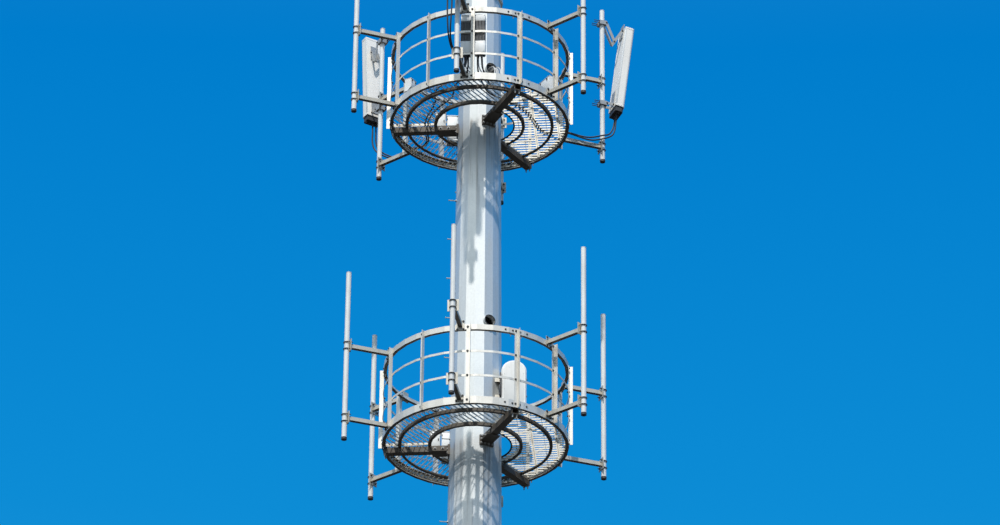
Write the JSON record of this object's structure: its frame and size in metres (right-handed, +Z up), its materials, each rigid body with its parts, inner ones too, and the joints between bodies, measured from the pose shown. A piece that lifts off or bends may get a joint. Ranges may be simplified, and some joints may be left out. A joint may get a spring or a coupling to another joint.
{
  "type": "cell tower",
  "caption": "Tapered many-sided steel monopole with two round railed work platforms, outrigger arms, antenna pipes and panel antennas.",
  "frame": {"origin": "centre of the base flange on its underside", "axes": "+Z up the pole, -Y towards the camera of the picture, +X to its right"},
  "size_m": [4.3725, 4.469, 39.94],
  "materials": {
    "pole_steel": "weathered pale grey zinc, satin",
    "platform_steel": "weathered galvanised, matt",
    "grating_steel": "galvanised, dull",
    "pipe_steel": "galvanised, satin",
    "antenna_cover": "off-white fibreglass cover, matt",
    "dark_plastic": "dark moulded end",
    "box_paint": "pale powder coat, satin",
    "cable_black": "black sheath",
    "cable_grey": "pale grey sheath",
    "fitting_steel": "galvanised, satin"
  },
  "bodies": {
    "root": {"access_cover": "pole_steel", "base_flange": "pole_steel", "cable_ports": "fitting_steel", "climbing_pegs": "fitting_steel", "enclosure": "box_paint", "enclosure_carriers": "fitting_steel", "front_cable_1": "cable_black", "front_cable_2": "cable_black", "front_panel_antenna": "antenna_cover", "jumper_1": "cable_grey", "jumper_2": "cable_grey", "jumper_3": "cable_grey", "jumper_4": "cable_grey", "left_cable_1": "cable_black", "left_cable_2": "cable_black", "left_panel_antenna": "antenna_cover", "lightning_rod": "fitting_steel", "lower_antenna_pipes": "pipe_steel", "lower_cabinets": "box_paint", "lower_floor_beams": "platform_steel", "lower_floor_infill": "grating_steel", "lower_floor_rings": "platform_steel", "lower_grating_left": "grating_steel", "lower_grating_rear": "grating_steel", "lower_grating_right": "grating_steel", "lower_lower_arms": "platform_steel", "lower_pole_brackets": "platform_steel", "lower_rail_posts": "platform_steel", "lower_rails": "platform_steel", "lower_splice_plates": "platform_steel", "lower_toe_ring": "platform_steel", "lower_upper_arms": "platform_steel", "panel_brackets": "fitting_steel", "panel_feet": "dark_plastic", "pole_base_section": "pole_steel", "pole_cap": "pole_steel", "pole_middle_section": "pole_steel", "pole_platform_section": "pole_steel", "pole_top_section": "pole_steel", "radio_plate": "fitting_steel", "radio_units": "box_paint", "right_cable_1": "cable_black", "right_cable_2": "cable_black", "right_panel_antenna": "antenna_cover", "side_boxes": "box_paint", "upper_antenna_pipes": "pipe_steel", "upper_cabinets": "box_paint", "upper_floor_beams": "platform_steel", "upper_floor_infill": "grating_steel", "upper_floor_rings": "platform_steel", "upper_grating_left": "grating_steel", "upper_grating_rear": "grating_steel", "upper_grating_right": "grating_steel", "upper_lower_arms": "platform_steel", "upper_pole_brackets": "platform_steel", "upper_rail_posts": "platform_steel", "upper_rails": "platform_steel", "upper_splice_plates": "platform_steel", "upper_toe_ring": "platform_steel", "upper_upper_arms": "platform_steel"}
  },
  "joints": []
}
